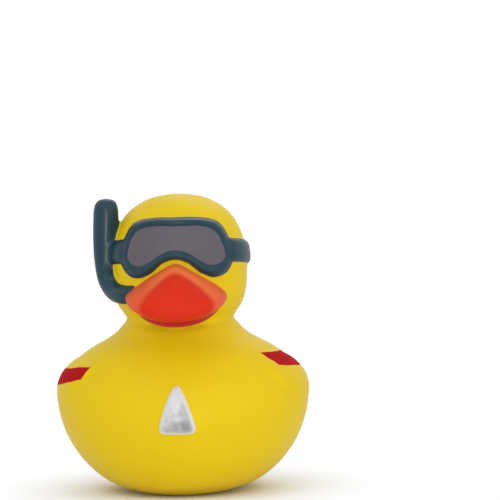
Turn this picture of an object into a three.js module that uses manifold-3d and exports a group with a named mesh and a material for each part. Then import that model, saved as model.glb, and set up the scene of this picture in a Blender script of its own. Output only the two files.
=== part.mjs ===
// A bath duck in diving gear: one hollow vinyl moulding with its mask, strap and snorkel moulded on.
// Millimetres, +Z up. The duck looks along -Y, and its own left side is +X.
import * as THREE from "three";
import { mergeVertices } from "three/addons/utils/BufferGeometryUtils.js";
import Module from "manifold-3d";

const wasm = await Module();
wasm.setup();

// Sizes of the moulding
const WALL = 2.0;
const VENT_DIAMETER = 3.0;
const HEAD_AXIS_Y = -5.5;
const HEAD_CENTRE_Z = 66.5;
const MASK_ROUND = 17.5;
const MASK_FORWARD = 4.1;
const MASK_LEAN = 0.69;
const STRAP_HALF_HEIGHT = 3.1;
const STRAP_PROUD = 1.2;
const STRAP_FALL = 2.6;
const STRAP_HIDDEN = 38;
const STRAP_SHOWN = 54;
const STRAP_SINK = 3;
const STRAP_CENTRE_Z = 68.4;
const WING_FOOT_Z = 20;
const WING_FULL_Z = 35;
const WING_SINK = 0.5;

// Fineness of the facets
const BODY_SIDES = 44;
const BODY_LEVELS = 46;
const BILL_SIDES = 28;

// Body sections from the flat base up to the neck: height, half width, reach to the front,
// reach to the back, and the place of the widest line along the body
const BODY_STATIONS = [
  [0.0, 10.5, 12.0, 16.0, 0.0],
  [0.7, 15.0, 17.0, 20.5, 0.0],
  [3.5, 22.0, 23.5, 26.5, 0.0],
  [8.5, 28.0, 28.5, 31.0, 0.0],
  [15.0, 32.5, 32.0, 34.0, 0.0],
  [22.0, 35.1, 33.8, 35.5, 0.0],
  [27.5, 35.6, 33.5, 35.5, 0.0],
  [32.5, 34.2, 31.2, 33.6, -0.4],
  [36.5, 31.3, 27.8, 30.4, -1.4],
  [40.5, 26.9, 23.4, 25.6, -3.0],
  [45.0, 19.4, 18.6, 19.6, -4.6],
  [47.8, 16.6, 16.5, 16.9, -5.2],
  [49.7, 15.1, 15.1, 15.3, -5.4],
  [51.4, 15.9, 15.9, 15.9, -5.5],
];

// Head sections, all round: height against the head's centre, and radius
const HEAD_OUTLINE = [
  [-12.0, 17.9],
  [-8.0, 18.9],
  [-4.0, 19.2],
  [0.0, 19.1],
  [5.0, 18.5],
  [10.0, 16.7],
  [14.0, 13.6],
  [17.0, 8.8],
  [18.2, 4.1],
  [18.5, 0.0],
];

// Upper bill sections along -Y: place, half width, top, corner and bottom against the head's centre
const UPPER_BILL = [
  [-16.0, 13.6, -0.2, -9.4, -14.0],
  [-22.5, 14.2, 0.2, -9.4, -14.4],
  [-27.0, 13.9, -0.2, -9.6, -14.7],
  [-31.0, 12.9, -1.6, -10.0, -15.0],
  [-34.0, 11.2, -3.4, -10.4, -15.0],
  [-36.2, 8.4, -5.6, -10.8, -14.5],
  [-37.4, 4.8, -8.0, -11.1, -13.4],
  [-37.8, 0.0, -11.1, -11.1, -11.1],
];

// Lower bill, tucked under the upper one
const LOWER_BILL = [
  [-16.0, 11.6, -8.8, -12.4, -16.6],
  [-22.0, 11.4, -8.8, -12.4, -17.1],
  [-27.0, 10.2, -9.3, -12.6, -17.3],
  [-31.0, 7.6, -10.3, -13.0, -16.8],
  [-33.4, 4.0, -11.8, -13.6, -15.8],
  [-34.2, 0.0, -14.1, -14.1, -14.1],
];

// Tail: spine place along the body, spine height, half width and half thickness
const TAIL = [
  [12.0, 19.0, 21.0, 11.6],
  [21.0, 22.6, 20.0, 11.2],
  [29.0, 27.8, 16.8, 9.2],
  [35.6, 33.6, 11.6, 6.0],
  [39.8, 38.9, 6.0, 3.3],
  [41.6, 41.8, 0.0, 0.0],
];

// Snorkel: a round bar from its domed top down to the corner of the bill, with its radius
const SNORKEL = [
  [-20.2, -8.5, 84.3, 0.0],
  [-20.2, -8.5, 83.8, 2.2],
  [-20.2, -8.5, 82.2, 3.3],
  [-20.3, -8.5, 79.0, 3.6],
  [-20.5, -8.7, 72.0, 3.6],
  [-20.6, -9.4, 65.5, 3.1],
  [-19.8, -11.2, 61.0, 2.8],
  [-17.6, -14.5, 58.2, 2.7],
  [-14.8, -18.4, 57.6, 2.5],
  [-11.5, -20.5, 58.2, 2.2],
];

// Front outline of the mask, its +X half from the brow down to the nose arch
const MASK_OUTLINE = [
  [0.0, 79.4],
  [7.2, 79.2],
  [11.4, 78.0],
  [13.7, 75.4],
  [15.2, 71.5],
  [15.8, 67.6],
  [15.0, 64.8],
  [13.0, 63.2],
  [10.6, 62.9],
  [7.2, 64.4],
  [3.6, 67.4],
  [0.0, 68.4],
];

// Front outline of the lens inside the mask's frame
const LENS_OUTLINE = [
  [0.0, 77.6],
  [6.8, 77.4],
  [10.2, 76.4],
  [12.1, 74.2],
  [13.3, 71.0],
  [13.7, 68.6],
  [12.9, 67.0],
  [11.4, 66.2],
  [9.6, 66.2],
  [6.8, 67.6],
  [3.4, 69.8],
  [0.0, 70.6],
];
const LENS_CENTRE = [0, 73.8];

// Front outline of the raised chest plate, its +X half from the tip down
const PLATE_OUTLINE = [
  [0.0, 33.2],
  [1.0, 32.1],
  [2.9, 28.1],
  [4.3, 23.5],
  [4.85, 21.0],
  [4.2, 20.3],
  [0.0, 20.1],
];

// Side outline of a wing, along the body and up
const WING_OUTLINE = [
  [-18.8, 37.8],
  [-10.0, 38.5],
  [0.0, 38.4],
  [10.0, 38.0],
  [18.0, 37.2],
  [24.6, 36.2],
  [25.6, 33.2],
  [21.5, 27.6],
  [13.0, 22.4],
  [3.0, 19.8],
  [-8.5, 21.8],
  [-15.5, 28.0],
  [-19.2, 34.8],
];

// One smooth curve through a table of rows, read at a share of its length
function tableCurve(rows) {
  const columns = rows[0].length;
  const curves = [];
  for (let column = 1; column < columns; column += 2) {
    const points = rows.map((row) => new THREE.Vector3(row[0], row[column], row[column + 1] ?? 0));
    curves.push(new THREE.CatmullRomCurve3(points, false, "catmullrom", 0.5));
  }
  return (share) => {
    const values = curves.map((curve) => curve.getPoint(share));
    const row = [values[0].x];
    for (const value of values) {
      row.push(value.y, value.z);
    }
    return row.slice(0, columns);
  };
}

// The share of a table curve at which its first column reaches a wanted value
function shareAt(curve, wanted) {
  let low = 0;
  let high = 1;
  const rising = curve(1)[0] > curve(0)[0];
  for (let step = 0; step < 40; step++) {
    const middle = (low + high) / 2;
    if (curve(middle)[0] < wanted === rising) {
      low = middle;
    } else {
      high = middle;
    }
  }
  return (low + high) / 2;
}

// A closed skin over rings of points, with a flat or pointed cap on each end
function loft(rings) {
  const sides = rings[0].length;
  const corners = rings.flat();
  const faces = [];
  for (let ring = 0; ring + 1 < rings.length; ring++) {
    for (let side = 0; side < sides; side++) {
      const next = (side + 1) % sides;
      const a = ring * sides + side;
      const b = ring * sides + next;
      const c = a + sides;
      const d = b + sides;
      faces.push(a, b, d, a, d, c);
    }
  }
  for (const ring of [0, rings.length - 1]) {
    const middle = rings[ring].reduce((sum, corner) => sum.add(corner), new THREE.Vector3());
    corners.push(middle.divideScalar(sides));
    const hub = corners.length - 1;
    for (let side = 0; side < sides; side++) {
      const a = ring * sides + side;
      const b = ring * sides + ((side + 1) % sides);
      faces.push(...(ring === 0 ? [hub, b, a] : [hub, a, b]));
    }
  }
  return new THREE.BufferGeometry().setFromPoints(corners).setIndex(faces);
}

// A closed skin over rings that also join last to first, for a band
function loopLoft(rings) {
  const sides = rings[0].length;
  const faces = [];
  for (let ring = 0; ring < rings.length; ring++) {
    const after = (ring + 1) % rings.length;
    for (let side = 0; side < sides; side++) {
      const next = (side + 1) % sides;
      const a = ring * sides + side;
      const b = ring * sides + next;
      const c = after * sides + side;
      const d = after * sides + next;
      faces.push(a, b, d, a, d, c);
    }
  }
  return new THREE.BufferGeometry().setFromPoints(rings.flat()).setIndex(faces);
}

// Corners that lie together become one, and faces that shrank to nothing go
function weld(geometry) {
  const bare = new THREE.BufferGeometry().setAttribute("position", geometry.getAttribute("position"));
  bare.setIndex(geometry.index);
  const merged = mergeVertices(bare, 1e-3);
  const index = merged.index.array;
  const kept = [];
  for (let face = 0; face < index.length; face += 3) {
    const [a, b, c] = [index[face], index[face + 1], index[face + 2]];
    if (a !== b && b !== c && c !== a) {
      kept.push(a, b, c);
    }
  }
  merged.setIndex(kept);
  return merged;
}

// A solid from a closed geometry, turned right side out
function solid(geometry) {
  const merged = weld(geometry);
  const triVerts = new Uint32Array(merged.index.array);
  const vertProperties = new Float32Array(merged.getAttribute("position").array);
  const made = new wasm.Manifold(new wasm.Mesh({ numProp: 3, vertProperties, triVerts }));
  if (made.volume() > 0) {
    return made;
  }
  triVerts.reverse();
  return new wasm.Manifold(new wasm.Mesh({ numProp: 3, vertProperties, triVerts }));
}

// The same closed geometry with its skin moved inwards by the wall, for the inside of the moulding
function inset(geometry, wall) {
  const merged = weld(geometry);
  merged.computeVertexNormals();
  const place = merged.getAttribute("position");
  const normal = merged.getAttribute("normal");
  const outward = signedVolume(merged) > 0 ? 1 : -1;
  for (let corner = 0; corner < place.count; corner++) {
    place.setXYZ(
      corner,
      place.getX(corner) - outward * wall * normal.getX(corner),
      place.getY(corner) - outward * wall * normal.getY(corner),
      place.getZ(corner) - outward * wall * normal.getZ(corner),
    );
  }
  return merged;
}

// Six times the volume that a geometry's faces enclose, negative where they face inwards
function signedVolume(geometry) {
  const place = geometry.getAttribute("position");
  const index = geometry.index.array;
  const [a, b, c] = [new THREE.Vector3(), new THREE.Vector3(), new THREE.Vector3()];
  let total = 0;
  for (let face = 0; face < index.length; face += 3) {
    a.fromBufferAttribute(place, index[face]);
    b.fromBufferAttribute(place, index[face + 1]);
    c.fromBufferAttribute(place, index[face + 2]);
    total += a.dot(b.cross(c));
  }
  return total;
}

// Body and head: one run of level sections, egg-shaped over the body, drawn in at the neck and round
// over the head
const headAt = tableCurve(HEAD_OUTLINE);
const headStations = HEAD_OUTLINE.map(([rise, radius]) => {
  return [HEAD_CENTRE_Z + rise, radius, radius, radius, HEAD_AXIS_Y];
});
const bodyAt = tableCurve([...BODY_STATIONS, ...headStations]);

function headRadius(z) {
  return headAt(shareAt(headAt, z - HEAD_CENTRE_Z))[1];
}

function bodyGeometry(sides, levels) {
  const rings = [];
  for (let level = 0; level <= levels; level++) {
    const [z, half, front, back, middle] = bodyAt(level / levels);
    const ring = [];
    for (let side = 0; side < sides; side++) {
      const turn = (2 * Math.PI * side) / sides;
      const reach = Math.max(Math.cos(turn) > 0 ? front : back, 0);
      const x = Math.max(half, 0) * Math.sin(turn);
      ring.push(new THREE.Vector3(x, middle - reach * Math.cos(turn), z));
    }
    rings.push(ring);
  }
  return loft(rings);
}

// Bill: sections with a peaked top edge, blunt corners and a round lower edge, closing to a blunt tip
function billGeometry(rows, sides, steps) {
  const at = tableCurve(rows);
  const rings = [];
  for (let step = 0; step <= steps; step++) {
    const [y, half, top, corner, bottom] = at(step / steps);
    const ring = [];
    for (let side = 0; side < sides; side++) {
      const turn = (2 * Math.PI * side) / sides;
      const across = Math.cos(turn);
      const ridge = 1.09 - 0.95 * Math.sqrt(across ** 2 + 0.009);
      const blunt = Math.sqrt(1 - across ** 10);
      const up = Math.sin(turn);
      const rise = up > 0 ? (top - corner) * ridge * blunt : (corner - bottom) * up;
      ring.push(new THREE.Vector3(Math.max(half, 0) * across, y, HEAD_CENTRE_Z + corner + rise));
    }
    rings.push(ring);
  }
  return loft(rings);
}

// Tail: oval sections square to a spine that curls up behind the body
function tailGeometry(rows, sides, steps) {
  const at = tableCurve(rows);
  const rings = [];
  for (let step = 0; step <= steps; step++) {
    const share = step / steps;
    const [y, z, half, thick] = at(share);
    const before = at(Math.max(share - 0.01, 0));
    const after = at(Math.min(share + 0.01, 1));
    const along = new THREE.Vector2(after[0] - before[0], after[1] - before[1]).normalize();
    const ring = [];
    for (let side = 0; side < sides; side++) {
      const turn = (2 * Math.PI * side) / sides;
      const rise = Math.max(thick, 0) * Math.sin(turn);
      const x = Math.max(half, 0) * Math.cos(turn);
      ring.push(new THREE.Vector3(x, y - along.y * rise, z + along.x * rise));
    }
    rings.push(ring);
  }
  return loft(rings);
}

// Snorkel: round sections square to its curved centre line
function snorkelGeometry(sides, steps) {
  const places = SNORKEL.map(([x, y, z]) => new THREE.Vector3(x, y, z));
  const path = new THREE.CatmullRomCurve3(places, false, "catmullrom", 0.5);
  const sizes = SNORKEL.map((row, index) => new THREE.Vector3(index, row[3], 0));
  const size = new THREE.CatmullRomCurve3(sizes, false, "catmullrom", 0.5);
  const rings = [];
  for (let step = 0; step <= steps; step++) {
    const share = step / steps;
    const centre = path.getPoint(share);
    const along = path.getTangent(share);
    const across = new THREE.Vector3(1, 0, 0).cross(along).normalize();
    const beside = along.clone().cross(across);
    const radius = Math.max(size.getPoint(share).y, 0);
    const ring = [];
    for (let side = 0; side < sides; side++) {
      const turn = (2 * Math.PI * side) / sides;
      const corner = centre.clone();
      corner.addScaledVector(across, radius * Math.cos(turn));
      corner.addScaledVector(beside, radius * Math.sin(turn));
      ring.push(corner);
    }
    rings.push(ring);
  }
  return loft(rings);
}

// Strap: a rounded band that lies on the head, falls a little to the back and dives in under the mask
function strapGeometry(sides) {
  const profile = [
    [-1.0, -2.0],
    [-1.0, 0.5],
    [-0.8, 1.0],
    [0.0, 1.1],
    [0.8, 1.0],
    [1.0, 0.5],
    [1.0, -2.0],
  ];
  const rings = [];
  for (let side = 0; side < sides; side++) {
    const turn = (2 * Math.PI * side) / sides;
    const fall = STRAP_FALL * Math.cos(turn);
    const aside = THREE.MathUtils.radToDeg(Math.min(turn, 2 * Math.PI - turn));
    const sink = STRAP_SINK * (1 - THREE.MathUtils.smoothstep(aside, STRAP_HIDDEN, STRAP_SHOWN));
    rings.push(
      profile.map(([share, proud]) => {
        const z = STRAP_CENTRE_Z + fall + STRAP_HALF_HEIGHT * share;
        const radius = headRadius(z) + STRAP_PROUD * proud - sink;
        return new THREE.Vector3(radius * Math.sin(turn), HEAD_AXIS_Y - radius * Math.cos(turn), z);
      }),
    );
  }
  return loopLoft(rings);
}

// A closed smooth outline from its +X half, with the other half mirrored
function mirroredOutline(half, count) {
  const right = half.map(([across, up]) => new THREE.Vector3(across, up, 0));
  const left = half.slice(1, -1).map(([across, up]) => new THREE.Vector3(-across, up, 0));
  return outline([...right, ...left.reverse()], count);
}

function outline(points, count) {
  const curve = new THREE.CatmullRomCurve3(points, true, "centripetal");
  return curve.getSpacedPoints(count).slice(0, count);
}

// The outline moved inwards by a distance, square to its edge
function shrink(points, distance) {
  const count = points.length;
  const area = points.reduce((sum, point, index) => {
    const next = points[(index + 1) % count];
    return sum + point.x * next.y - next.x * point.y;
  }, 0);
  const facing = area > 0 ? 1 : -1;
  return points.map((point, index) => {
    const before = points[(index + count - 1) % count];
    const after = points[(index + 1) % count];
    const along = after.clone().sub(before).normalize();
    const inward = new THREE.Vector3(-along.y, along.x, 0).multiplyScalar(facing);
    return point.clone().addScaledVector(inward, distance);
  });
}

// A relief that stands on a surface: rings of outline points, each at its own height, then a middle
// that closes in towards a centre
function relief(outlines, heights, centre, middleSteps, place) {
  const rings = outlines.map((points, ring) => {
    return points.map((point) => place(point.x, point.y, heights[ring]));
  });
  const last = outlines[outlines.length - 1];
  for (const [share, height] of middleSteps) {
    rings.push(
      last.map((point) => {
        const x = centre[0] + (point.x - centre[0]) * share;
        const y = centre[1] + (point.y - centre[1]) * share;
        return place(x, y, height);
      }),
    );
  }
  return loft(rings);
}

// A relief whose edge steps lie at distances in from one outline
function raised(points, steps, centre, middleSteps, place) {
  const outlines = steps.map(([distance]) => shrink(points, distance));
  const heights = steps.map(([, height]) => height);
  return relief(outlines, heights, centre, middleSteps, place);
}

// Where the mask's curved front lies, raised by a height; a deep height closes it inside the head
function onMask(x, z, height) {
  const drop = (z - HEAD_CENTRE_Z) * MASK_LEAN;
  const forward = MASK_FORWARD + Math.sqrt(Math.max(MASK_ROUND ** 2 - x ** 2 - drop ** 2, 1));
  const reach = height < -5 ? 5 : forward + height;
  return new THREE.Vector3(x, HEAD_AXIS_Y - reach, z);
}

// Where the chest lies in front of a place on the front view
function onChest(x, z, height) {
  const [, half, front, , middle] = bodyAt(shareAt(bodyAt, z));
  const forward = front * Math.sqrt(1 - (x / half) ** 2);
  return new THREE.Vector3(x, middle - forward - height, z);
}

// Where the body's flank lies beside a place on the side view; a height fades out to the wing's foot
function onFlank(side) {
  return (y, z, height) => {
    const [, half, front, back, middle] = bodyAt(shareAt(bodyAt, z));
    const reach = y < middle ? front : back;
    const share = Math.min(Math.abs(y - middle) / reach, 0.98);
    const fade = THREE.MathUtils.smoothstep(z, WING_FOOT_Z, WING_FULL_Z);
    const proud = height < 0 ? height : height * fade - WING_SINK * (1 - fade);
    return new THREE.Vector3(side * (half * Math.sqrt(1 - share ** 2) + proud), y, z);
  };
}

// Mask: the frame runs from its outer outline to the lens, flat in front with a bevel down to the lens
const maskLine = mirroredOutline(MASK_OUTLINE, 60);
const lensLine = mirroredOutline(LENS_OUTLINE, 60);
const frameSteps = [
  [0.0, -10],
  [0.0, -2.2],
  [0.08, -0.7],
  [0.25, -0.1],
  [0.6, 0.0],
  [0.78, -0.15],
  [1.0, -1.1],
];
const frameOutlines = frameSteps.map(([share]) => {
  return maskLine.map((point, index) => point.clone().lerp(lensLine[index], share));
});
const frameHeights = frameSteps.map(([, height]) => height);
const lensSteps = [
  [0.75, -1.05],
  [0.4, -1.0],
  [0.1, -1.0],
];
const mask = relief(frameOutlines, frameHeights, LENS_CENTRE, lensSteps, onMask);

// Chest plate: a shallow step all round, then a gently domed face
const plateSteps = [
  [0.0, -3],
  [0.0, 0.5],
  [0.3, 1.2],
  [0.9, 1.6],
];
const plateMiddle = [
  [0.45, 1.9],
  [0.1, 2.0],
];
const plate = raised(mirroredOutline(PLATE_OUTLINE, 36), plateSteps, [0, 24.3], plateMiddle, onChest);

// Wings: soft pads on the flanks, full along the upper edge
const wingSteps = [
  [0.0, -3],
  [0.0, 0.3],
  [0.8, 0.85],
  [2.2, 1.15],
];
const wingMiddle = [
  [0.7, 1.25],
  [0.3, 1.3],
];
const wingPoints = WING_OUTLINE.map(([along, up]) => new THREE.Vector3(along, up, 0));
const wings = [-1, 1].map((side) => {
  return raised(outline(wingPoints, 44), wingSteps, [4, 30], wingMiddle, onFlank(side));
});

// The outside of the moulding
const body = bodyGeometry(BODY_SIDES, BODY_LEVELS);
const upperBill = billGeometry(UPPER_BILL, BILL_SIDES, 14);
const lowerBill = billGeometry(LOWER_BILL, 24, 8);
const tail = tailGeometry(TAIL, 28, 10);
const strap = strapGeometry(BODY_SIDES);
const snorkel = snorkelGeometry(16, 22);
let shell = solid(body);
for (const form of [tail, upperBill, lowerBill, mask, strap, snorkel, plate, ...wings]) {
  shell = shell.add(solid(form));
}

// The hollow, one wall inside the large forms, and the vent in the base
const tailHollow = TAIL.slice(0, 4).map(([y, z, half, thick]) => {
  return [y, z, half - 1.4 * WALL, thick - WALL];
});
const billHollow = UPPER_BILL.slice(0, 6).map(([y, half, top, corner, bottom]) => {
  return [y + 1.4 * WALL, half - 1.6 * WALL, top - WALL, corner - 0.3 * WALL, bottom + WALL];
});
const hollowForms = [
  inset(bodyGeometry(24, 24), WALL),
  tailGeometry(tailHollow, 14, 4),
  billGeometry(billHollow, 16, 5),
];
const ventBore = new THREE.CylinderGeometry(VENT_DIAMETER / 2, VENT_DIAMETER / 2, 12, 20);
ventBore.rotateX(Math.PI / 2);
ventBore.deleteAttribute("normal");
ventBore.deleteAttribute("uv");
let hollow = solid(ventBore);
for (const form of hollowForms) {
  hollow = hollow.add(solid(form));
}
const moulding = shell.subtract(hollow);

// The finished mesh, with the middle of its base at the origin
const cut = moulding.getMesh();
const skin = new THREE.BufferGeometry();
skin.setAttribute("position", new THREE.BufferAttribute(new Float32Array(cut.vertProperties), 3));
skin.setIndex(new THREE.BufferAttribute(new Uint32Array(cut.triVerts), 1));
skin.computeBoundingBox();
const centre = skin.boundingBox.getCenter(new THREE.Vector3());
skin.translate(-centre.x, -centre.y, -skin.boundingBox.min.z);
skin.computeVertexNormals();

const vinyl = new THREE.MeshStandardMaterial({ color: "#e8c414", roughness: 0.38, metalness: 0 });
const duck = new THREE.Mesh(skin, vinyl);
duck.name = "duck";

const part = new THREE.Group();
part.name = "diving_duck";
part.add(duck);

export default part;
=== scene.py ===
"""The looks of a bath duck in diving gear: one soft painted vinyl skin, a pale floor and studio light."""
import math

import bpy
import numpy as np
from mathutils import Matrix, Vector
from mathutils.bvhtree import BVHTree


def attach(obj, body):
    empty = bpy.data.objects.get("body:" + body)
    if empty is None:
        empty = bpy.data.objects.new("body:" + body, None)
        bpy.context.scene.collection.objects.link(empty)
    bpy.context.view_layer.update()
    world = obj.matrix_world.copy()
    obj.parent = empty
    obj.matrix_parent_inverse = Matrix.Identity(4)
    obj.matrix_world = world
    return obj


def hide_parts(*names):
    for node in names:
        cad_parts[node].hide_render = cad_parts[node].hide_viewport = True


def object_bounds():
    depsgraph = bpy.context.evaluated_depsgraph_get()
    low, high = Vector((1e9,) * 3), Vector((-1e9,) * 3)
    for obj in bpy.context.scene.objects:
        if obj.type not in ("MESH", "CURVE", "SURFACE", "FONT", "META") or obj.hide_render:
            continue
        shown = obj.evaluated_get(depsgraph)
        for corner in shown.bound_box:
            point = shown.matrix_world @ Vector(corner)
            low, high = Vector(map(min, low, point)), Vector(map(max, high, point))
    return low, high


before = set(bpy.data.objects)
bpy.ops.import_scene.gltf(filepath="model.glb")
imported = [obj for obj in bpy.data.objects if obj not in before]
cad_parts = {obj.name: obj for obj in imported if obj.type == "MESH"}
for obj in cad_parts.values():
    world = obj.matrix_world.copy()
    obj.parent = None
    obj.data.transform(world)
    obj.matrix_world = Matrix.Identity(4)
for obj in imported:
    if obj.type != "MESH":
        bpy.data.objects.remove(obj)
cad_low, cad_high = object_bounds()

# Sizes of the moulding in millimetres, as in the part's source
MM = 0.001
HEAD_AXIS_Y = -5.5
HEAD_CENTRE_Z = 66.5
MASK_ROUND = 17.5
MASK_FORWARD = 4.1
MASK_LEAN = 0.69
LENS_CENTRE = (0.0, 73.8)
PLATE_CENTRE = (0.0, 24.3)
STRAP_CENTRE_Z = 68.4
STRAP_FALL = 2.6
STRAP_HALF_HEIGHT = 3.1
STRAP_HIDDEN = math.radians(38)
STRAP_SHOWN = math.radians(54)
STRAP_SINK = 3.0
BILL_TIP_Y = -37.8
BILL_RIDGE = 1.09
BILL_RIDGE_FALL = 0.95
BILL_RIDGE_ROUND = 0.009
BILL_SIDE_POWER = 10
VENT_DIAMETER = 3.0
WING_CENTRE = (4.0, 30.0)
WING_FOOT_Z = 20.0
WING_FULL_Z = 35.0
WING_SINK = 0.5
WING_REACH_LIMIT = 0.98

# The strap stands a little prouder than in the source, because smoothing takes some of it away
STRAP_PROUD = 1.3
STRAP_ROOT = 2.0

# A ring of the mask or lens at this height is its root inside the head, at one reach from the head's axis
MASK_ROOT = -10.0
MASK_ROOT_REACH = 5.0

# How the forms become one skin, with sizes in millimetres
VOXEL = 0.54
SMOOTH_SHARE = 0.5
EDGE_ROUNDS = 5
TAIL_JOINT_ROUNDS = 60
TAIL_JOINT_FRONT_Y = 14.0
TAIL_JOINT_FULL = 2.0
TAIL_JOINT_END = 5.0
VENT_SIDES = 40
VENT_CUT = 8.0
SHARP_EDGE = math.radians(50)

# How finely a curve is followed before it is read
CURVE_SAMPLES = 3000
STRETCH_SAMPLES = 80

# Height, half width, reach to the front, reach to the back, place of the widest line
BODY = [
    (0.0, 10.5, 12.0, 16.0, 0.0),
    (0.7, 15.0, 17.0, 20.5, 0.0),
    (3.5, 22.0, 23.5, 26.5, 0.0),
    (8.5, 28.0, 28.5, 31.0, 0.0),
    (15.0, 32.5, 32.0, 34.0, 0.0),
    (22.0, 35.1, 33.8, 35.5, 0.0),
    (27.5, 35.6, 33.5, 35.5, 0.0),
    (32.5, 34.2, 31.2, 33.6, -0.4),
    (36.5, 31.3, 27.8, 30.4, -1.4),
    (40.5, 26.9, 23.4, 25.6, -3.0),
    (45.0, 19.4, 18.6, 19.6, -4.6),
    (47.8, 16.6, 16.5, 16.9, -5.2),
    (49.7, 15.1, 15.1, 15.3, -5.4),
    (51.4, 15.9, 15.9, 15.9, -5.5),
]

# Height against the head's centre, and radius
HEAD = [
    (-12.0, 17.9),
    (-8.0, 18.9),
    (-4.0, 19.2),
    (0.0, 19.1),
    (5.0, 18.5),
    (10.0, 16.7),
    (14.0, 13.6),
    (17.0, 8.8),
    (18.2, 4.1),
    (18.5, 0.0),
]

# Place along the bill, half width, top, corner and bottom against the head's centre
UPPER_BILL = [
    (-16.0, 13.6, -0.2, -9.4, -14.0),
    (-22.5, 14.2, 0.2, -9.4, -14.4),
    (-27.0, 13.9, -0.2, -9.6, -14.7),
    (-31.0, 12.9, -1.6, -10.0, -15.0),
    (-34.0, 11.2, -3.4, -10.4, -15.0),
    (-36.2, 8.4, -5.6, -10.8, -14.5),
    (-37.4, 4.8, -8.0, -11.1, -13.4),
    (BILL_TIP_Y, 0.0, -11.1, -11.1, -11.1),
]
LOWER_BILL = [
    (-16.0, 11.6, -8.8, -12.4, -16.6),
    (-22.0, 11.4, -8.8, -12.4, -17.1),
    (-27.0, 10.2, -9.3, -12.6, -17.3),
    (-31.0, 7.6, -10.3, -13.0, -16.8),
    (-33.4, 4.0, -11.8, -13.6, -15.8),
    (-34.2, 0.0, -14.1, -14.1, -14.1),
]

# Spine place along the body, spine height, half width and half thickness
TAIL = [
    (12.0, 19.0, 21.0, 11.6),
    (21.0, 22.6, 20.0, 11.2),
    (29.0, 27.8, 16.8, 9.2),
    (35.6, 33.6, 11.6, 6.0),
    (39.8, 38.9, 6.0, 3.3),
    (41.6, 41.8, 0.0, 0.0),
]

# Centre line of the snorkel and its radius
SNORKEL = [
    (-20.2, -8.5, 84.3, 0.0),
    (-20.2, -8.5, 83.8, 2.2),
    (-20.2, -8.5, 82.2, 3.3),
    (-20.3, -8.5, 79.0, 3.6),
    (-20.5, -8.7, 72.0, 3.6),
    (-20.6, -9.4, 65.5, 3.1),
    (-19.8, -11.2, 61.0, 2.8),
    (-17.6, -14.5, 58.2, 2.7),
    (-14.8, -18.4, 57.6, 2.5),
    (-11.5, -20.5, 58.2, 2.2),
]

# Front outlines, the +X half from the top down
MASK = [
    (0.0, 79.4),
    (7.2, 79.2),
    (11.4, 78.0),
    (13.7, 75.4),
    (15.2, 71.5),
    (15.8, 67.6),
    (15.0, 64.8),
    (13.0, 63.2),
    (10.6, 62.9),
    (7.2, 64.4),
    (3.6, 67.4),
    (0.0, 68.4),
]
LENS = [
    (0.0, 77.6),
    (6.8, 77.4),
    (10.2, 76.4),
    (12.1, 74.2),
    (13.3, 71.0),
    (13.7, 68.6),
    (12.9, 67.0),
    (11.4, 66.2),
    (9.6, 66.2),
    (6.8, 67.6),
    (3.4, 69.8),
    (0.0, 70.6),
]
PLATE = [
    (0.0, 33.2),
    (1.0, 32.1),
    (2.9, 28.1),
    (4.3, 23.5),
    (4.85, 21.0),
    (4.2, 20.3),
    (0.0, 20.1),
]

# Side outline of a wing, along the body and up
WING = [
    (-18.8, 37.8),
    (-10.0, 38.5),
    (0.0, 38.4),
    (10.0, 38.0),
    (18.0, 37.2),
    (24.6, 36.2),
    (25.6, 33.2),
    (21.5, 27.6),
    (13.0, 22.4),
    (3.0, 19.8),
    (-8.5, 21.8),
    (-15.5, 28.0),
    (-19.2, 34.8),
]

# Steps of the mask's frame: share of the way from the mask's outline to the lens's, and height
FRAME_STEPS = [
    (0.0, MASK_ROOT), (0.0, -2.2), (0.03, -1.2), (0.08, -0.7), (0.15, -0.3), (0.25, -0.08), (0.4, 0.0),
    (0.62, -0.02), (0.72, -0.1), (0.8, -0.3), (0.9, -0.75), (1.0, -1.25), (1.04, -2.2),
]

# Steps of the other reliefs: distance in from the outline, and height
LENS_STEPS = [(0.0, MASK_ROOT), (0.0, -1.4), (0.25, -1.15)]
PLATE_STEPS = [(0.0, -3.0), (0.0, 0.7), (0.08, 1.05), (0.25, 1.35), (0.5, 1.55), (0.9, 1.68)]
WING_STEPS = [(0.0, -3.0), (0.0, 0.2), (0.25, 0.45), (0.7, 0.75), (1.4, 1.0), (2.2, 1.15)]

# Inside its steps a relief closes towards its centre: share of the way from the centre, and height
FRAME_MIDDLE = [(0.7, -2.2), (0.4, -2.2), (0.1, -2.2)]
LENS_MIDDLE = [(0.7, -1.05), (0.4, -1.0), (0.1, -1.0)]
PLATE_MIDDLE = [(0.75, 1.78), (0.45, 1.92), (0.1, 2.0)]
WING_MIDDLE = [(0.8, 1.22), (0.6, 1.26), (0.3, 1.3), (0.1, 1.3)]

# The frame has the middle of the part's box at its origin, so the forms move along the body to fit it
SHIFT_Y = cad_low.y / MM - BILL_TIP_Y


def table(rows):
    """A smooth curve through rows of numbers, read at shares of its length."""
    rows = np.array(rows, float)
    padded = np.vstack([2 * rows[0] - rows[1], rows, 2 * rows[-1] - rows[-2]])

    def at(share):
        place = np.clip(share, 0, 1) * (len(rows) - 1)
        index = np.minimum(place.astype(int), len(rows) - 2)
        t = (place - index)[:, None]
        a, b, c, d = (padded[index + step] for step in range(4))
        bend = (2 * a - 5 * b + 4 * c - d) + t * (3 * b - a - 3 * c + d)
        return b + 0.5 * t * ((c - a) + t * bend)

    return at


def by_first(rows):
    """The same curve, read at values of its first column."""
    at = table(rows)
    shares = np.linspace(0, 1, CURVE_SAMPLES)
    first = at(shares)[:, 0]
    return lambda wanted: at(np.interp(wanted, first, shares))


def eased(share):
    """A share from 0 to 1 that starts and ends gently."""
    share = np.clip(share, 0, 1)
    return share * share * (3 - 2 * share)


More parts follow.
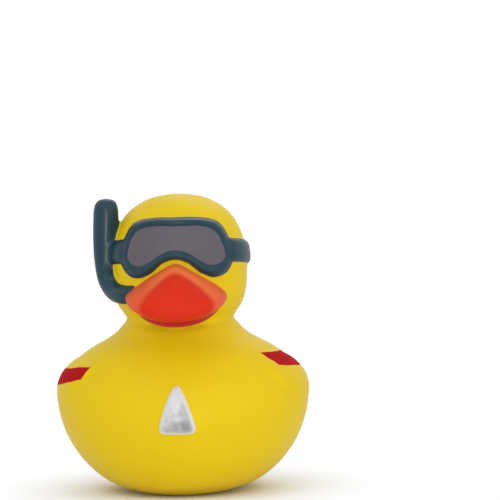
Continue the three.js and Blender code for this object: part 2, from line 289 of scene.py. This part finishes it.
def outline(points, count):
    """Evenly spaced points on a smooth closed curve."""
    points = np.array(points, float)
    around = len(points)
    dense = []
    for index in range(around):
        a, b, c, d = (points[(index + step) % around] for step in (-1, 0, 1, 2))
        first, second, third = (np.sqrt(np.linalg.norm(v)) for v in (b - a, c - b, d - c))
        start = ((b - a) / first - (c - a) / (first + second) + (c - b) / second) * second
        end = ((c - b) / second - (d - b) / (second + third) + (d - c) / third) * second
        t = np.linspace(0, 1, STRETCH_SAMPLES, endpoint=False)[:, None]
        leave = (2 * t**3 - 3 * t**2 + 1) * b + (t**3 - 2 * t**2 + t) * start
        reach = (3 * t**2 - 2 * t**3) * c + (t**3 - t**2) * end
        dense.append(leave + reach)
    dense = np.vstack(dense)
    closed = np.vstack([dense, dense[:1]])
    travel = np.concatenate([[0], np.cumsum(np.linalg.norm(np.diff(closed, axis=0), axis=1))])
    wanted = np.linspace(0, travel[-1], count, endpoint=False)
    return np.column_stack([np.interp(wanted, travel, closed[:, axis]) for axis in (0, 1)])


def mirrored(half):
    """A whole outline from its +X half."""
    return half + [(-across, up) for across, up in half[-2:0:-1]]


def shrink(points, distance):
    """An outline moved inwards, square to its edge."""
    along = np.roll(points, -1, axis=0) - np.roll(points, 1, axis=0)
    along /= np.linalg.norm(along, axis=1)[:, None]
    after = np.roll(points, -1, axis=0)
    area = np.sum(points[:, 0] * after[:, 1] - after[:, 0] * points[:, 1])
    inward = np.column_stack([-along[:, 1], along[:, 0]]) * np.sign(area)
    return points + inward * distance


def places_of(piece):
    """A piece's corners, in metres."""
    places = np.empty(len(piece.data.vertices) * 3)
    piece.data.vertices.foreach_get("co", places)
    return places.reshape(-1, 3)


def set_places(piece, places):
    """Moves a piece's corners to places in the moulding, in millimetres."""
    places = places + np.array([0, SHIFT_Y, 0])
    piece.data.vertices.foreach_set("co", (places * MM).ravel())
    piece.data.update()


def form(name, sides, levels, place):
    """A ball whose rings are moved to the sections of a form, from its first section to its last."""
    bpy.ops.object.select_all(action="DESELECT")
    bpy.ops.mesh.primitive_uv_sphere_add(segments=sides, ring_count=levels, radius=1)
    piece = bpy.context.object
    piece.name = name
    ball = places_of(piece)
    level = np.rint(np.arccos(np.clip(ball[:, 2], -1, 1)) / math.pi * levels)
    side = np.rint(np.arctan2(ball[:, 1], ball[:, 0]) / (2 * math.pi) % 1 * sides) % sides
    share = np.clip((level - 1) / (levels - 2), 0, 1)
    made = place(side / sides, share)
    for pole, ring in ((0, 1), (levels, levels - 1)):
        made[level == pole] = made[level == ring].mean(axis=0)
    set_places(piece, made)
    return piece


# Body with head, bill, tail and snorkel
trunk = BODY + [(HEAD_CENTRE_Z + rise, radius, radius, radius, HEAD_AXIS_Y) for rise, radius in HEAD]
body_at = table(trunk)
body_by_height = by_first(trunk)
head_by_height = by_first(HEAD)


def body_place(side, share):
    """Round the body and head, with the front and back half of a section each of its own reach."""
    z, half, front, back, middle = body_at(share).T
    turn = 2 * math.pi * side
    reach = np.maximum(np.where(np.cos(turn) > 0, front, back), 0)
    return np.column_stack([np.maximum(half, 0) * np.sin(turn), middle - reach * np.cos(turn), z])


def bill_place(rows):
    """Round one half of the bill: a ridge with blunt sides above, and a round belly below."""
    at = table(rows)

    def place(side, share):
        y, half, top, corner, bottom = at(share).T
        turn = 2 * math.pi * side
        across = np.cos(turn)
        up = np.sin(turn)
        ridge = BILL_RIDGE - BILL_RIDGE_FALL * np.sqrt(across**2 + BILL_RIDGE_ROUND)
        blunt = np.sqrt(np.maximum(1 - across**BILL_SIDE_POWER, 0))
        rise = np.where(up > 0, (top - corner) * ridge * blunt, (corner - bottom) * up)
        return np.column_stack([np.maximum(half, 0) * across, y, HEAD_CENTRE_Z + corner + rise])

    return place


def direction(at, share, step, columns):
    """Which way a curve runs at each share, as unit vectors of its first columns."""
    along = (at(np.minimum(share + step, 1)) - at(np.maximum(share - step, 0)))[:, :columns]
    return along / np.linalg.norm(along, axis=1)[:, None]


def tail_place(side, share):
    """Round the tail, square to its spine."""
    at = table(TAIL)
    y, z, half, thick = at(share).T
    along = direction(at, share, step=0.01, columns=2)
    turn = 2 * math.pi * side
    rise = np.maximum(thick, 0) * np.sin(turn)
    across = np.maximum(half, 0) * np.cos(turn)
    return np.column_stack([across, y - along[:, 1] * rise, z + along[:, 0] * rise])


def snorkel_place(side, share):
    """Round the snorkel, square to its centre line."""
    at = table(SNORKEL)
    here = at(share)
    along = direction(at, share, step=0.004, columns=3)
    across = np.cross([1.0, 0.0, 0.0], along)
    across /= np.linalg.norm(across, axis=1)[:, None]
    beside = np.cross(along, across)
    turn = (2 * math.pi * side)[:, None]
    radius = np.maximum(here[:, 3:4], 0)
    return here[:, :3] + radius * (across * np.cos(turn) + beside * np.sin(turn))


body = form("body", sides=160, levels=210, place=body_place)
upper_bill = form("upper bill", sides=120, levels=70, place=bill_place(UPPER_BILL))
lower_bill = form("lower bill", sides=96, levels=50, place=bill_place(LOWER_BILL))
tail = form("tail", sides=96, levels=60, place=tail_place)
snorkel = form("snorkel", sides=48, levels=110, place=snorkel_place)


def strap_piece():
    """A ring with a flat rounded section, laid on the head and dipping in under the mask."""
    ring_radius = 2.0
    bpy.ops.object.select_all(action="DESELECT")
    bpy.ops.mesh.primitive_torus_add(
        major_segments=160, minor_segments=24, major_radius=ring_radius, minor_radius=1,
    )
    piece = bpy.context.object
    piece.name = "strap"
    ring = places_of(piece)
    turn = np.arctan2(ring[:, 0], -ring[:, 1])
    outward = np.hypot(ring[:, 0], ring[:, 1]) - ring_radius
    flat = np.sign(outward) * np.sqrt(np.abs(outward))
    tall = np.sign(ring[:, 2]) * np.sqrt(np.abs(ring[:, 2]))
    z = STRAP_CENTRE_Z + STRAP_FALL * np.cos(turn) + STRAP_HALF_HEIGHT * tall
    shown = eased((np.abs(turn) - STRAP_HIDDEN) / (STRAP_SHOWN - STRAP_HIDDEN))
    lift = np.where(flat > 0, STRAP_PROUD * flat, STRAP_ROOT * flat) - STRAP_SINK * (1 - shown)
    radius = head_by_height(z - HEAD_CENTRE_Z)[:, 1] + lift
    across = radius * np.sin(turn)
    set_places(piece, np.column_stack([across, HEAD_AXIS_Y - radius * np.cos(turn), z]))
    return piece


strap = strap_piece()


def relief(name, rings, heights, centre, middle, place):
    """Rings of an outline, each raised over a surface, then a closed middle."""
    rings = list(rings)
    heights = list(heights)
    edge = rings[-1]
    for share, height in middle:
        rings.append(np.array(centre) + (edge - centre) * share)
        heights.append(height)
    rings = np.array(rings)
    heights = np.array(heights)
    around = rings.shape[1]

    def ring_place(side, share):
        ring = np.rint(share * (len(rings) - 1)).astype(int)
        index = np.rint(side * around).astype(int) % around
        flat = rings[ring, index]
        return place(flat[:, 0], flat[:, 1], heights[ring])

    return form(name, around, len(rings) + 1, ring_place)


def raised(name, points, steps, centre, middle, place):
    """A relief whose edge steps lie at distances in from one outline."""
    rings = [shrink(points, distance) for distance, height in steps]
    return relief(name, rings, [height for distance, height in steps], centre, middle, place)


def on_mask(x, z, height):
    """Raised over the round face that the mask lies on."""
    drop = (z - HEAD_CENTRE_Z) * MASK_LEAN
    forward = MASK_FORWARD + np.sqrt(np.maximum(MASK_ROUND**2 - x**2 - drop**2, 1))
    reach = np.where(height <= MASK_ROOT, MASK_ROOT_REACH, forward + height)
    return np.column_stack([x, HEAD_AXIS_Y - reach, z])


def on_chest(x, z, height):
    """Raised over the front of the body."""
    half, front, middle = body_by_height(z)[:, [1, 2, 4]].T
    forward = front * np.sqrt(np.maximum(1 - (x / half) ** 2, 0))
    return np.column_stack([x, middle - forward - height, z])


def on_flank(side):
    """Raised over one side of the body, fading into it towards the wing's foot."""

    def place(y, z, height):
        half, front, back, middle = body_by_height(z)[:, 1:].T
        share = np.minimum(np.abs(y - middle) / np.where(y < middle, front, back), WING_REACH_LIMIT)
        fade = eased((z - WING_FOOT_Z) / (WING_FULL_Z - WING_FOOT_Z))
        proud = np.where(height < 0, height, height * fade - WING_SINK * (1 - fade))
        return np.column_stack([side * (half * np.sqrt(1 - share**2) + proud), y, z])

    return place


# Mask: the frame runs from its outer outline to the lens, flat in front with a bevel down to the lens
mask_line = outline(mirrored(MASK), count=240)
lens_line = outline(mirrored(LENS), count=240)
frame_rings = [mask_line + (lens_line - mask_line) * share for share, height in FRAME_STEPS]
frame_heights = [height for share, height in FRAME_STEPS]
mask = relief("mask", frame_rings, frame_heights, LENS_CENTRE, FRAME_MIDDLE, on_mask)
lens = raised("lens", lens_line, LENS_STEPS, LENS_CENTRE, LENS_MIDDLE, on_mask)

# Chest plate and wings
plate_line = outline(mirrored(PLATE), count=160)
plate = raised("plate", plate_line, PLATE_STEPS, PLATE_CENTRE, PLATE_MIDDLE, on_chest)
wing_line = outline(WING, count=200)
wings = []
for side in (-1, 1):
    wings.append(raised("wing", wing_line, WING_STEPS, WING_CENTRE, WING_MIDDLE, on_flank(side)))

# Each painted zone is found by which form the finished skin lies on
forms = {
    "skin": [body, tail],
    "wing": wings,
    "bill": [upper_bill],
    "lower_bill": [lower_bill],
    "gear": [mask, strap, snorkel],
    "lens": [lens],
    "plate": [plate],
}


def tree_of(piece):
    """A piece's faces, ready to be asked for the nearest place."""
    faces = [tuple(face.vertices) for face in piece.data.polygons]
    return BVHTree.FromPolygons([tuple(place) for place in places_of(piece)], faces)


trees = {name: [tree_of(piece) for piece in pieces] for name, pieces in forms.items()}


def smooth(piece, rounds, group=""):
    """Smooths the active piece all over, or by the weights of a vertex group."""
    made = piece.modifiers.new("smooth", "SMOOTH")
    made.factor = SMOOTH_SHARE
    made.iterations = rounds
    made.vertex_group = group
    bpy.ops.object.modifier_apply(modifier=made.name)


# One closed skin over all the forms, softened as a moulding is
bpy.ops.object.select_all(action="DESELECT")
for pieces in forms.values():
    for piece in pieces:
        piece.select_set(True)
bpy.context.view_layer.objects.active = body
bpy.ops.object.join()
duck = bpy.context.object
duck.name = "duck_skin"
skin = duck.modifiers.new("one skin", "REMESH")
skin.mode = "VOXEL"
skin.voxel_size = VOXEL * MM
bpy.ops.object.modifier_apply(modifier=skin.name)
smooth(duck, EDGE_ROUNDS)

# The tail runs into the body in a round hollow, where the skin lies near both of them
joint = duck.vertex_groups.new(name="tail joint")
for index, corner in enumerate(places_of(duck)):
    if corner[1] > TAIL_JOINT_FRONT_Y * MM:
        farthest = max(tree.find_nearest(Vector(corner))[3] for tree in trees["skin"]) / MM
        weight = min(1.0, max(0.0, (TAIL_JOINT_END - farthest) / (TAIL_JOINT_END - TAIL_JOINT_FULL)))
        if weight > 0:
            joint.add([index], weight, "REPLACE")
smooth(duck, TAIL_JOINT_ROUNDS, joint.name)
duck.vertex_groups.clear()

# The vent in the base
bpy.ops.object.select_all(action="DESELECT")
bpy.ops.mesh.primitive_cylinder_add(vertices=VENT_SIDES, radius=VENT_DIAMETER / 2 * MM, depth=VENT_CUT * MM)
bore = bpy.context.object
bore.location = (0, SHIFT_Y * MM, 0)
bpy.context.view_layer.objects.active = duck
vent = duck.modifiers.new("vent", "BOOLEAN")
vent.operation = "DIFFERENCE"
vent.object = bore
bpy.ops.object.modifier_apply(modifier=vent.name)
bpy.data.objects.remove(bore)
bpy.ops.object.select_all(action="DESELECT")
duck.select_set(True)
bpy.ops.object.shade_smooth_by_angle(angle=SHARP_EDGE)

# How far each corner lies inside each painted zone, in millimetres, kept as an attribute of that name
ZONES = {
    "bill": ["bill", "lower_bill"],
    "lower_bill": ["lower_bill"],
    "gear": ["gear", "lens"],
    "lens": ["lens"],
    "plate": ["plate"],
}
corners = [Vector(corner) for corner in places_of(duck)]
gaps = {}
for name, found in trees.items():
    nearest = [min(tree.find_nearest(corner)[3] for tree in found) for corner in corners]
    gaps[name] = np.array(nearest) / MM
for zone_name, own in ZONES.items():
    inside = np.min([gaps[name] for name in own], axis=0)
    others = np.min([gap for name, gap in gaps.items() if name not in own], axis=0)
    attribute = duck.data.attributes.new(zone_name, "FLOAT", "POINT")
    attribute.data.foreach_set("value", others - inside)

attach(duck, "root")
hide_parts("duck")

# Paints, each clouded between two near colours
PAINTS = {
    "yellow": ("#e0bf08", "#e6c810"),
    "band red": ("#a8040c", "#b80c14"),
    # The bill's oranges are partly its own paint and partly a painted highlight where its top and sides
    # face the light
    "brow orange and highlight": ("#f2743a", "#f67e44"),
    "corner orange and highlight": ("#dc5226", "#e25c30"),
    "bill red": ("#d02508", "#d82e0e"),
    # The lower bill's crimson is partly its own deeper red and partly painted shade under the upper bill
    "crimson and shade": ("#ac0c26", "#bc142c"),
    "teal": ("#102f3c", "#173d4b"),
    "smoke": ("#5d5860", "#66616a"),
    # The plate's silvers are painted light: lit and shaded silver for painted shade across it, and a pale
    # silver for a painted highlight on its edge
    "lit silver": ("#c4c4c6", "#d6d6d8"),
    "shaded silver": ("#8c8c90", "#a0a0a4"),
    "edge highlight silver": ("#d8d8d8", "#e6e6e6"),
    "paper": ("#f4f4f4", "#f8f8f8"),
}

# How the paint lies, in millimetres: its edge, and how far that edge wanders
PAINT_EDGE = 0.14
PAINT_WANDER = 0.5

# Where the bill turns red: a line that bows forward at its ends, with its middle a little to one side
BILL_RED_X = 1.9
BILL_RED_Y = -30.7
BILL_RED_BOW = 0.034
BILL_RED_BLUR = 2.6

# The corners have their own orange, partly a painted highlight on the bill's sides, in full from this
# square of the distance aside
BILL_CORNER_SPREAD = 120.0

# The red band on a wing: its upper edge, the fall and tilt of that edge, its depth and its front end
BAND_TOP_Z = 38.75
BAND_TOP_Y = -13.0
BAND_FALL = 0.09
BAND_TILT = 0.066
BAND_DEPTH = 4.6
BAND_DEEPEST_Y = -4.0
BAND_TAPER = 0.0059
BAND_FRONT_Y = -16.6
BAND_FRONT_TURN = 0.06

# The plate's silver carries painted shade, darker to one side and further down; it is mottled, and has a
# painted highlight along its edge
PLATE_SHADE = 0.3
PLATE_SHADE_ASIDE = 0.13
PLATE_SHADE_DOWN = 0.09
PLATE_SHADE_Z = 26.0
PLATE_MOTTLE = 1.9
PLATE_EDGE_DEPTH = 1.65
PLATE_EDGE_BLUR = 0.6
PLATE_METAL = 0.5
PLATE_EDGE_METAL_LOSS = 0.35

# Finish: roughness with what clouds, grain, paint and band add to it, lacquer of the gear, and bump
VINYL_ROUGH = 0.46
CLOUD_ROUGH = 0.12
GRAIN_ROUGH = 0.06
PAINT_ROUGH = 0.05
BAND_ROUGH = 0.4
LACQUER = 0.34
LACQUER_CLOUD = 0.2
GRAIN_RISE = 0.12
CLOUD_RISE = 0.2
PAINT_RISE = 0.35
BUMP_STRENGTH = 0.35
BUMP_HEIGHT = 0.12


def linear(code):
    """A colour written as in a paint chart, in the renderer's own scale."""
    parts = [int(code[start:start + 2], 16) / 255 for start in (1, 3, 5)]
    return [part / 12.92 if part <= 0.04045 else ((part + 0.055) / 1.055) ** 2.4 for part in parts] + [1]


class Wire:
    """A value in a material, with the arithmetic of plain numbers."""

    def __init__(self, tree, socket=None):
        self.tree = tree
        self.socket = socket

    def node(self, kind, inputs, output=0, **settings):
        """A new node with its settings and inputs, read at one of its outputs."""
        made = self.tree.nodes.new(kind)
        for name, value in settings.items():
            setattr(made, name, value)
        for name, value in inputs.items():
            if isinstance(value, Wire):
                self.tree.links.new(value.socket, made.inputs[name])
            else:
                made.inputs[name].default_value = value
        return Wire(self.tree, made.outputs[output])

    def maths(self, operation, *values, **settings):
        return self.node("ShaderNodeMath", dict(enumerate(values)), operation=operation, **settings)

    def __add__(self, other):
        return self.maths("ADD", self, other)

    def __radd__(self, other):
        return self.maths("ADD", other, self)

    def __sub__(self, other):
        return self.maths("SUBTRACT", self, other)

    def __rsub__(self, other):
        return self.maths("SUBTRACT", other, self)

    def __mul__(self, other):
        return self.maths("MULTIPLY", self, other)

    def __rmul__(self, other):
        return self.maths("MULTIPLY", other, self)

    def __truediv__(self, other):
        return self.maths("DIVIDE", self, other)

    def clamped(self):
        return self.maths("ADD", self, 0.0, use_clamp=True)

    def least(self, other):
        return self.maths("MINIMUM", self, other)

    def between(self, low, high):
        """This value as a share of the way from one colour to another."""
        return self.node("ShaderNodeMix", {0: self, 6: low, 7: high}, output=2, data_type="RGBA")


def new_material(name):
    """A material with its shader, and the places on the piece that it reads."""
    made = bpy.data.materials.new(name)
    made.use_nodes = True
    tree = made.node_tree
    place = Wire(tree).node("ShaderNodeTexCoord", {}, output="Object")
    return made, tree.nodes["Principled BSDF"], place


def set_shader(shader, **sockets):
    """Sets the sockets of a shader by name, to numbers or to wires."""
    for name, value in sockets.items():
        socket = shader.inputs[name.replace("_", " ")]
        if isinstance(value, Wire):
            value.tree.links.new(value.socket, socket)
        else:
            socket.default_value = value


def noise(place, scale, detail=2.0, rough=0.5):
    """Cloudy noise over the places on a piece, around 0.5."""
    inputs = {"Vector": place, "Scale": scale, "Detail": detail, "Roughness": rough}
    return place.node("ShaderNodeTexNoise", inputs)


def paint(name, share):
    """One of the paints, at a share of the way between its two colours."""
    first, second = PAINTS[name]
    return share.between(linear(first), linear(second))


def coordinate(place, axis):
    """One coordinate of the places on a piece, in millimetres."""
    return place.node("ShaderNodeSeparateXYZ", {"Vector": place}, output=axis) / MM


# Painted vinyl, with places on the skin in millimetres of the moulding
vinyl, vinyl_shader, skin_place = new_material("painted vinyl")
across = coordinate(skin_place, "X")
along = coordinate(skin_place, "Y") - SHIFT_Y
height = coordinate(skin_place, "Z")

grain = noise(skin_place, scale=2600.0, detail=3.0, rough=0.6)
cloud = noise(skin_place, scale=34.0, detail=3.0, rough=0.55)
speck = noise(skin_place, scale=900.0)
mottle = noise(skin_place, scale=420.0, rough=0.6)

# A painted edge follows the form, and wanders a little as a hand-held spray mask does
wander = (noise(skin_place, scale=260.0) - 0.5) * PAINT_WANDER


def depth_in(zone):
    """How far inside a zone the skin lies, in millimetres."""
    return skin_place.node("ShaderNodeAttribute", {}, output="Fac", attribute_name=zone)


def painted(depth):
    """One inside a painted zone and zero outside, from the depth inside it."""
    return ((depth + wander) / PAINT_EDGE + 0.5).clamped()


# Bill: orange along the brow and the corners, partly its own paint and partly a painted highlight where the
# top and sides face the light, red in front
aside = across - BILL_RED_X
red_line = BILL_RED_Y - BILL_RED_BOW * aside * aside
in_front = ((red_line - along + wander) / BILL_RED_BLUR + 0.5).clamped()
to_corner = (aside * aside / BILL_CORNER_SPREAD).clamped()
rim_orange_and_highlight = to_corner.between(paint("brow orange and highlight", cloud), paint("corner orange and highlight", cloud))
bill_colour = in_front.between(rim_orange_and_highlight, paint("bill red", cloud))

# Plate: lit and shaded silver as painted shade, with a painted highlight along its edge
higher_up = (height - PLATE_SHADE_Z) * PLATE_SHADE_DOWN
# Painted shade: the silver darkens to one side and further down, with mottling over it
plate_shade = (PLATE_SHADE + across * PLATE_SHADE_ASIDE - higher_up + (mottle - 0.5) * PLATE_MOTTLE).clamped()
# Painted highlight: pale silver along the plate's edge, where its bevel catches the light
plate_edge_highlight = ((PLATE_EDGE_DEPTH - depth_in("plate")) / PLATE_EDGE_BLUR).clamped()
plate_face = plate_shade.between(paint("lit silver", speck), paint("shaded silver", speck))
silver = plate_edge_highlight.between(plate_face, paint("edge highlight silver", speck))

# The red band follows the upper edge of each wing, cut square in front and running out behind
upper_line = BAND_TOP_Z - BAND_FALL * (along - BAND_TOP_Y) + BAND_TILT * across
from_deepest = along - BAND_DEEPEST_Y
band_depth = BAND_DEPTH - BAND_TAPER * from_deepest * from_deepest
front_end = along - BAND_FRONT_Y - BAND_FRONT_TURN * across
band = (upper_line - height).least(height - upper_line + band_depth).least(front_end)

is_band = painted(band)
is_bill = painted(depth_in("bill"))
is_lower = painted(depth_in("lower_bill"))
is_gear = painted(depth_in("gear"))
is_lens = painted(depth_in("lens"))
is_plate = painted(depth_in("plate"))

colour = is_band.between(paint("yellow", cloud), paint("band red", cloud))
colour = is_bill.between(colour, bill_colour)
# The lower bill takes crimson, partly painted shade where it lies under the upper bill
colour = is_lower.between(colour, paint("crimson and shade", cloud))
colour = is_gear.between(colour, paint("teal", cloud))
colour = is_lens.between(colour, paint("smoke", speck))
colour = is_plate.between(colour, silver)

is_paint = (is_band + is_bill + is_lower + is_gear + is_lens + is_plate).clamped()
uneven = (cloud - 0.5) * CLOUD_ROUGH + (grain - 0.5) * GRAIN_ROUGH
roughness = VINYL_ROUGH + uneven + is_paint * PAINT_ROUGH + is_band * BAND_ROUGH
lacquer = is_gear * (1 - is_lens) * (LACQUER + (cloud - 0.5) * LACQUER_CLOUD)
rise = grain * GRAIN_RISE + cloud * CLOUD_RISE + is_paint * PAINT_RISE
bump_inputs = {"Strength": BUMP_STRENGTH, "Distance": BUMP_HEIGHT * MM, "Height": rise}
bump = skin_place.node("ShaderNodeBump", bump_inputs)

set_shader(
    vinyl_shader,
    Base_Color=colour,
    Roughness=roughness,
    Metallic=is_plate * (PLATE_METAL - plate_edge_highlight * PLATE_EDGE_METAL_LOSS),
    Coat_Weight=lacquer,
    Coat_Roughness=0.24,
    Normal=bump,
    IOR=1.5,
    Specular_IOR_Level=0.15,
    Subsurface_Weight=0.12,
    Subsurface_Radius=(1.0, 0.6, 0.15),
    Subsurface_Scale=0.002,
)
duck.data.materials.clear()
duck.data.materials.append(vinyl)

# Floor, light and background, in metres and watts
FLOOR_SIZE = 6.0
FLOOR_FADE_FROM = 0.02
FLOOR_FADE_OVER = 0.035
SURROUND_LIGHT = 0.69
WHITE = (1, 1, 1, 1)
LAMP_AIM = Vector((0, 0, 0.045))

# Name, place, width and power of each lamp
LAMPS = [
    ("key", (-0.5, -0.75, 0.85), 0.7, 1.0),
    ("front", (0.1, -1.2, 0.14), 0.8, 1.85),
    ("low", (0.06, -0.9, 0.05), 0.14, 1.2),
    ("fill", (0.75, -0.55, 0.45), 0.8, 1.15),
    ("top", (0.0, -0.2, 1.0), 0.26, 0.5),
    ("back", (0.2, 0.8, 0.8), 0.7, 1.3),
]


def seen_rays(wire):
    """One for rays that show the background: to the camera, off a shiny face or through glass."""
    direct = wire.node("ShaderNodeLightPath", {}, output="Is Camera Ray")
    off_shine = wire.node("ShaderNodeLightPath", {}, output="Is Glossy Ray")
    through_glass = wire.node("ShaderNodeLightPath", {}, output="Is Transmission Ray")
    return (direct + off_shine + through_glass).clamped()


# The floor is paper that shows the shadow near the duck and fades to white round it
bpy.ops.object.select_all(action="DESELECT")
bpy.ops.mesh.primitive_plane_add(size=FLOOR_SIZE)
floor = bpy.context.object
floor.name = "floor"
paper, paper_shader, floor_place = new_material("pale paper")
paper_colour = paint("paper", noise(floor_place, scale=3.0))
set_shader(paper_shader, Base_Color=paper_colour, Roughness=0.9, Specular_IOR_Level=0.1)
distance = floor_place.node("ShaderNodeVectorMath", {0: floor_place}, output="Value", operation="LENGTH")
faded = ((distance - FLOOR_FADE_FROM) / FLOOR_FADE_OVER).clamped() * seen_rays(floor_place)
white = floor_place.node("ShaderNodeEmission", {"Color": WHITE, "Strength": 1.0})
shaded = Wire(floor_place.tree, paper_shader.outputs["BSDF"])
blend = floor_place.node("ShaderNodeMixShader", {0: faded, 1: shaded, 2: white})
paper_end = floor_place.tree.nodes["Material Output"]
floor_place.tree.links.new(blend.socket, paper_end.inputs["Surface"])
floor.data.materials.append(paper)

# Round soft lamps, turned to the duck
for name, stand, width, power in LAMPS:
    lamp_data = bpy.data.lights.new(name, "AREA")
    lamp_data.shape = "DISK"
    lamp_data.size = width
    lamp_data.energy = power
    lamp = bpy.data.objects.new(name, lamp_data)
    bpy.context.collection.objects.link(lamp)
    lamp.location = stand
    lamp.rotation_euler = (LAMP_AIM - Vector(stand)).to_track_quat("-Z", "Y").to_euler()

# White background, with a softer light all round
world = bpy.data.worlds.new("studio")
bpy.context.scene.world = world
world.use_nodes = True
background = world.node_tree.nodes["Background"]
surround = (SURROUND_LIGHT, SURROUND_LIGHT, SURROUND_LIGHT, 1)
tone = seen_rays(Wire(world.node_tree)).between(surround, WHITE)
world.node_tree.links.new(tone.socket, background.inputs["Color"])
background.inputs["Strength"].default_value = 1.0

# Camera at the photograph's angle, turned so that the duck's middle falls on its place in the picture
AZIMUTH = math.radians(3.2)
ELEVATION = math.radians(6.0)
ROLL = math.radians(1.3)
CAMERA_DISTANCE = 1.5
SENSOR_WIDTH = 36.0
PICTURE_SIZE = 500
PIXEL_SIZE = 0.2856 * MM
DUCK_MIDDLE = Vector((0, 0, 42.5 * MM))
DUCK_MIDDLE_PIXEL = (182.4, 340.2)

level_share = math.cos(ELEVATION)
to_camera = Vector((math.sin(AZIMUTH) * level_share, -math.cos(AZIMUTH) * level_share, math.sin(ELEVATION)))
camera_data = bpy.data.cameras.new("camera")
camera_data.sensor_width = SENSOR_WIDTH
camera_data.lens = SENSOR_WIDTH * CAMERA_DISTANCE / (PICTURE_SIZE * PIXEL_SIZE)
camera = bpy.data.objects.new("camera", camera_data)
bpy.context.collection.objects.link(camera)
picture_middle = PICTURE_SIZE / 2
pixel_x, pixel_y = DUCK_MIDDLE_PIXEL
pixel_distance = CAMERA_DISTANCE / PIXEL_SIZE
ray = Vector((pixel_x - picture_middle, picture_middle - pixel_y, -pixel_distance))
off_centre = Vector((0, 0, -1)).rotation_difference(ray.normalized()).to_matrix()
facing = (-to_camera).to_track_quat("-Z", "Y").to_matrix()
lean = Matrix.Rotation(-ROLL, 3, "Z")
turned = facing @ lean @ off_centre.inverted()
camera.matrix_world = Matrix.Translation(DUCK_MIDDLE + to_camera * CAMERA_DISTANCE) @ turned.to_4x4()
bpy.context.scene.camera = camera

bpy.context.scene.view_settings.view_transform = "Standard"
